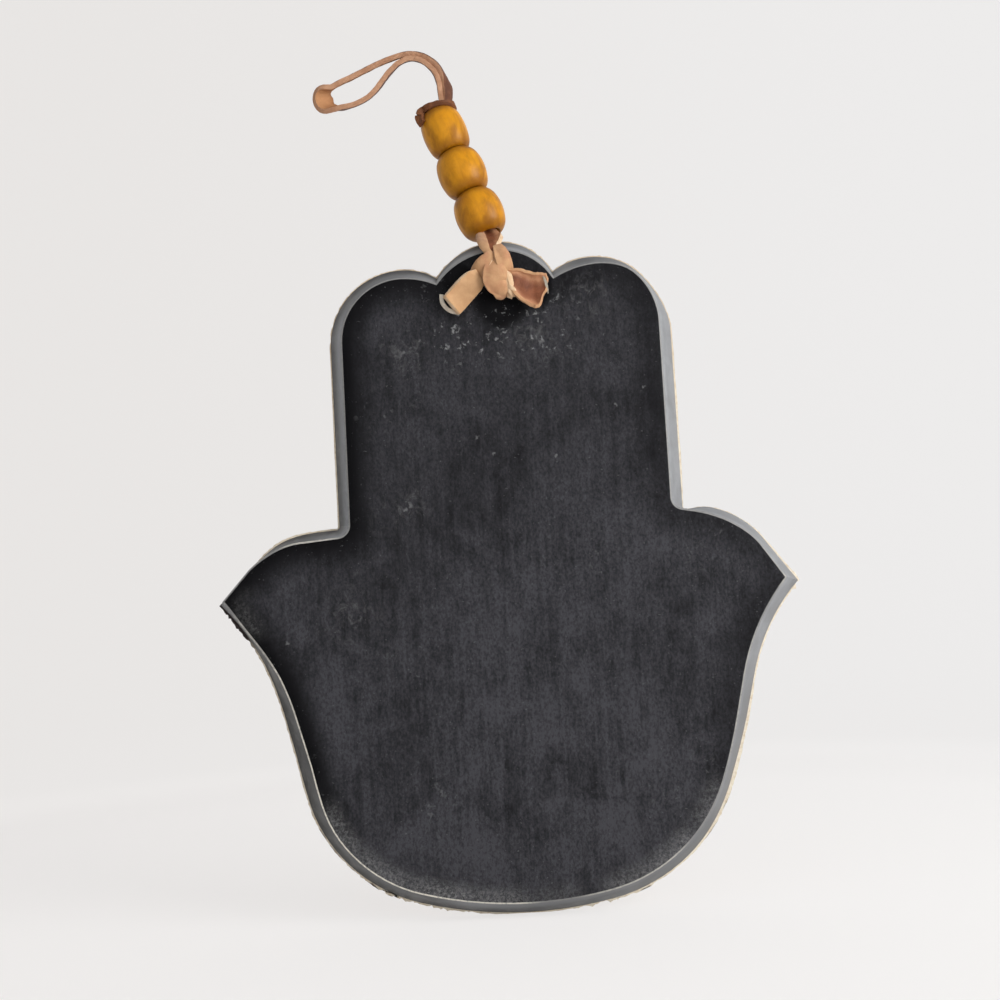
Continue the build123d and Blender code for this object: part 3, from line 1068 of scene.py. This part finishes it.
nearFold = {
    "route": [
        (-2.5, 1.4, 78.4), (-2.75, 0.7, 77.6), (-2.6, -1.4, 76.4), (-2.45, -4.2, 75.2), (-2.2, -7.2, 73.2),
        (-1.6, -8.9, 71.3), (-0.8, -9.6, 69.8), (-0.4, -9.6, 68.6),
    ],
    "across": [(-1, 0.25, 0), (-0.95, 0.25, 0.2)], "width": [1.4, 1.7, 1.9, 2.0, 2.1, 1.9, 1.3, 0.8],
    "cup": [-30, -30], "rollRight": [-25, -25], "looks": sides, "thick": 0.8,
}
farShape = {
    "route": [
        (-0.8, 3.0, 77.9), (-0.6, 2.6, 76.6), (-0.2, 1.4, 75.0), (0, 0.95, 72.6), (0, 0.95, 69.4), (0, 1.0, 66.4),
        (0, 0.4, 64.9), (0, -1.6, 64.7), (0, -4.4, 65.0), (0, -7.8, 65.2),
    ],
    "across": [(1, 0, 0), (1, 0, 0)], "width": [3.8, 4.6, 5.0, 5.0, 5.0, 4.6, 4.2, 4.0], "cup": [6, 6],
    "looks": sides,
}


def makeStrands():
    near = joined("nearStrand", [layStrap("nearFlat", nearShape)[0], layStrap("nearFold", nearFold)[0]])
    far = layStrap("farStrand", farShape)[0]
    for strand, nodes in ((near, ("near_strand", "lace_neck")), (far, ("far_strand",))):
        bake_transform(strand)
        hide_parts(*nodes)
    return near, far


nearStrand, farStrand = makeStrands()
print("strands laid over the rim")


# tie knot on the black face: two turns behind, one in front, and a small crumpled edge
knotShape = {
    "leftTurn": {
        "route": [
            (-0.2, -8.9, 70.3), (-0.8, -9.7, 69.3), (-1.7, -10.1, 68.2), (-2.7, -9.9, 67.1), (-3.5, -9.0, 66.1),
            (-3.9, -8.0, 65.2),
        ],
        "across": [(-0.72, 0, 0.69), (-0.72, 0, 0.69)], "width": [1.2, 2.2, 3.1, 3.5, 3.7, 3.6],
        "cup": [-12, -16], "rollLeft": [20, 55, 55, 25], "rollRight": [0, -25, -40, -40], "ripple": 0.22,
    },
    "rightTurn": {
        "route": [
            (0.9, -8.5, 71.9), (1.3, -9.3, 70.9), (1.8, -10.0, 69.4), (2.2, -10.0, 67.9), (2.5, -9.5, 66.6),
            (2.4, -8.7, 65.4),
        ],
        "across": [(-0.9, -0.15, -0.4), (-0.97, -0.15, -0.2)], "width": [1.8, 2.7, 3.4, 3.5, 3.4, 3.0],
        "cup": [-12, -16], "rollLeft": [-20, -50, -45], "rollRight": [10, 25, 25], "ripple": 0.22,
        "looks": ("flesh", "grain", "flesh"),
    },
    "frontTurn": {
        "route": [
            (-0.1, -8.5, 70.0), (-0.1, -9.7, 68.6), (0.1, -10.8, 66.7), (0.1, -11.0, 64.9), (0.1, -10.9, 63.4),
            (0.7, -10.4, 62.0), (1.3, -9.5, 60.9), (1.7, -8.4, 60.5),
        ],
        "across": [(-1, -0.1, -0.1), (-1, -0.1, -0.25)], "width": [0.8, 2.0, 4.1, 5.3, 5.4, 4.5, 3.0, 1.8],
        "cup": [-16, -20, -20, -16], "rollLeft": [0, -15, -20, -20], "rollRight": [0, 12, 24, 20, 5],
        "ripple": 0.36, "thick": 0.95, "looks": ("flesh", "grain", "flesh"),
    },
    "crumple": {
        "route": [
            (2.4, -9.5, 65.9), (2.9, -10.0, 64.6), (2.95, -9.9, 63.0), (3.4, -9.6, 61.9), (3.6, -9.2, 60.9),
            (2.9, -8.8, 60.6),
        ],
        "across": [(-0.8, 0.3, -0.5), (-0.7, 0.3, -0.6)], "width": [0.9, 1.3, 1.5, 1.7, 1.3], "ripple": 0.45,
        "looks": ("cut", "cut", "cut"),
    },
}
tailShape = {
    "leftTail": {
        "route": [
            (-3.3, -9.3, 65.1), (-4.3, -9.8, 64.4), (-5.8, -9.8, 63.1), (-7.4, -9.4, 61.6), (-8.9, -9.3, 60.0),
            (-9.9, -9.9, 58.9),
        ],
        "across": [(-0.66, -0.35, 0.68), (-0.62, -0.45, 0.66), (-0.62, -0.42, 0.66)],
        "width": [3.9, 5.1, 5.4, 5.4, 5.4, 5.3], "rollRight": [0, 5, 5, 5], "looks": ("tailFlesh", "grain", "cut"),
    },
    "leftSplit": {
        "route": [
            (-11.9, -8.1, 61.9), (-12.1, -8.1, 60.7), (-11.6, -8.1, 59.4), (-10.7, -8.1, 58.4), (-9.4, -8.1, 57.8),
            (-8.2, -8.1, 57.6),
        ],
        "across": [(0.1, 1, 0.1), (0.1, 1, 0.1)], "width": [0.5, 1.5, 1.6, 1.2], "thick": 0.85,
        "looks": ("split", "split", "split"),
    },
    "rightTail": {
        "route": [
            (1.4, -8.4, 65.2), (2.9, -8.9, 64.7), (4.2, -9.0, 64.2), (5.6, -8.7, 63.2), (7.2, -8.3, 62.0),
            (9.0, -8.3, 61.3), (10.6, -8.8, 60.8), (11.0, -9.4, 60.7),
        ],
        "across": [
            (0.0, 0, 1), (-0.05, 0, 1), (0.08, 0, 1), (0.26, 0, 0.97), (0.36, 0, 0.93), (0.4, 0, 0.92),
            (0.42, 0, 0.91),
        ],
        "width": [3.2, 4.2, 6.2, 7.8, 8.6, 9.0, 9.0],
        "rollLeft": [-40, -70, -95, -100, -85, -70], "rollRight": [-40, -60, -75, -75, -60, -50],
        "thick": 0.75, "ripple": 0.3, "fray": 0.06, "ragged": 1.0, "looks": ("flesh", "tailGrainShaded", "flesh"),
    },
    "tornFibre": {
        "route": [(10.4, -9.2, 65.0), (11.0, -9.3, 64.0), (11.3, -9.2, 62.7), (11.5, -8.9, 61.6), (11.6, -8.6, 60.7)],
        "across": [(0.9, 0, 0.4), (0.95, 0.2, 0.1)], "width": [0.3, 0.5, 0.6, 0.5, 0.2], "thick": 0.2, "fray": 0.6,
        "looks": ("fibre", "fibre", "fibre"),
    },
}


def makeKnot():
    turns = [layStrap(name, {"looks": sides, "thick": 1.2, **shape})[0] for name, shape in knotShape.items()]
    tails = [layStrap(name, {"looks": sides, **shape})[0] for name, shape in tailShape.items()]
    knot = joined("tieKnot", turns)
    leftTail, rightTail = joined("leftTail", tails[:2]), joined("rightTail", tails[2:])
    for piece, node in ((knot, "tie_knot"), (leftTail, "left_tail"), (rightTail, "right_tail")):
        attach(piece, "plaque")
        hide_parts(node)
    return knot, leftTail, rightTail


tieKnot, leftTail, rightTail = makeKnot()
print("knot tied")


# studio: pale floor that curves up all round, a soft key from the right and a weak fill
studio = {
    "floor": -75.2,
    "radius": 620,
    "corner": 260,
    "wall": 700,
    "steps": 12,
    "sides": 128,
    "smooth": 60,
    "rough": 0.95,
    "specular": 0.1,
    "pale": (0.87, 0.86, 0.85),
    "seen": (1, 0.99, 0.985),
    "seenLeft": (0.93, 0.9, 0.885),
    "seenSpan": 420,
    "seenShare": 0.72,
    "far": (0.86, 0.85, 0.845),
    "farLeft": (0.82, 0.8, 0.785),
    "farShare": 0.96,
    "farFrom": 190,
    "farFade": 150,
    "world": (0.95, 0.96, 0.98),
    "worldStrength": 0.4,
    "aim": (0, 0, 10),
    "key": {"place": (490, -330, 210), "size": 400, "power": 3.3, "colour": (1, 0.985, 0.965)},
    "fill": {"place": (-40, -600, 330), "size": 600, "power": 0.5, "colour": (0.97, 0.98, 1)},
}


def paleCloth():  # plain and matt; what the camera sees of it, and what shows in reflections, is partly its own tone, which is darker to the left as painted shade
    finish, tree, shader = newFinish("paleCloth")
    shader.inputs["Base Color"].default_value = (*studio["pale"], 1)
    shader.inputs["Roughness"].default_value = studio["rough"]
    shader.inputs["Specular IOR Level"].default_value = studio["specular"]
    rays = newNode(tree, "LightPath", {}).outputs
    seen = larger(tree, rays["Is Camera Ray"], rays["Is Glossy Ray"])
    seen = larger(tree, seen, rays["Is Transmission Ray"])
    # painted shade: the tone that is seen and reflected darkens towards the left
    aside = spread(tree, axisValue(tree, "X"), -studio["seenSpan"], studio["seenSpan"])
    close = nearPoint(tree, (0, 0, studio["floor"]), studio["farFrom"], studio["farFade"])
    away = blendColour(tree, aside, studio["farLeft"], studio["far"])
    tint = blendColour(tree, close, away, blendColour(tree, aside, studio["seenLeft"], studio["seen"]))
    tone = newNode(tree, "Emission", {"Color": tint}).outputs["Emission"]
    share = times(tree, seen, spread(tree, close, 0, 1, studio["farShare"], studio["seenShare"]))
    both = newNode(tree, "MixShader", {0: share, 1: shader.outputs["BSDF"], 2: tone})
    tree.links.new(both.outputs["Shader"], tree.nodes["Material Output"].inputs["Surface"])
    return finish


def makeFloor():
    nothingSelected()
    bpy.ops.mesh.primitive_circle_add(
        vertices=studio["sides"],
        radius=studio["radius"] * mm,
        fill_type="NGON",
        location=(0, 0, studio["floor"] * mm),
    )
    floor = bpy.context.object
    floor.name = "paleFloor"
    bpy.ops.object.transform_apply(location=True)
    chooseOpenEdges()
    steps = studio["steps"]
    for step in range(1, steps + 1):  # the rounded corner between floor and wall
        a, b = (math.pi / 2 * k / steps for k in (step - 1, step))
        out = studio["corner"] * (math.sin(b) - math.sin(a)) * mm
        up = studio["corner"] * (math.cos(a) - math.cos(b)) * mm
        now = studio["radius"] * mm + studio["corner"] * math.sin(a) * mm
        bpy.ops.mesh.extrude_edges_move(TRANSFORM_OT_translate={"value": (0, 0, up)})
        grow = (now + out) / now
        bpy.ops.transform.resize(value=(grow, grow, 1), center_override=(0, 0, 0))
    bpy.ops.mesh.extrude_edges_move(TRANSFORM_OT_translate={"value": (0, 0, studio["wall"] * mm)})
    toObject()
    smoothed(floor, studio["smooth"])
    floor.data.materials.append(paleCloth())


def setLights():
    for name in ("key", "fill"):
        spec = studio[name]
        lamp = bpy.data.lights.new(name, "AREA")
        lamp.energy, lamp.size, lamp.color = spec["power"], spec["size"] * mm, spec["colour"]
        holder = bpy.data.objects.new(name, lamp)
        bpy.context.scene.collection.objects.link(holder)
        holder.location = inMetres(spec["place"])
        aim = inMetres(studio["aim"]) - holder.location
        holder.rotation_euler = aim.to_track_quat("-Z", "Y").to_euler()
    world = bpy.data.worlds.new("paleRoom")
    world.use_nodes = True
    sky = world.node_tree.nodes["Background"]
    sky.inputs["Color"].default_value = (*studio["world"], 1)
    sky.inputs["Strength"].default_value = studio["worldStrength"]
    bpy.context.scene.world = world
    bpy.context.scene.view_settings.view_transform = "Standard"


makeFloor()
setLights()
print("studio set")

nothingSelected()
bpy.context.view_layer.update()
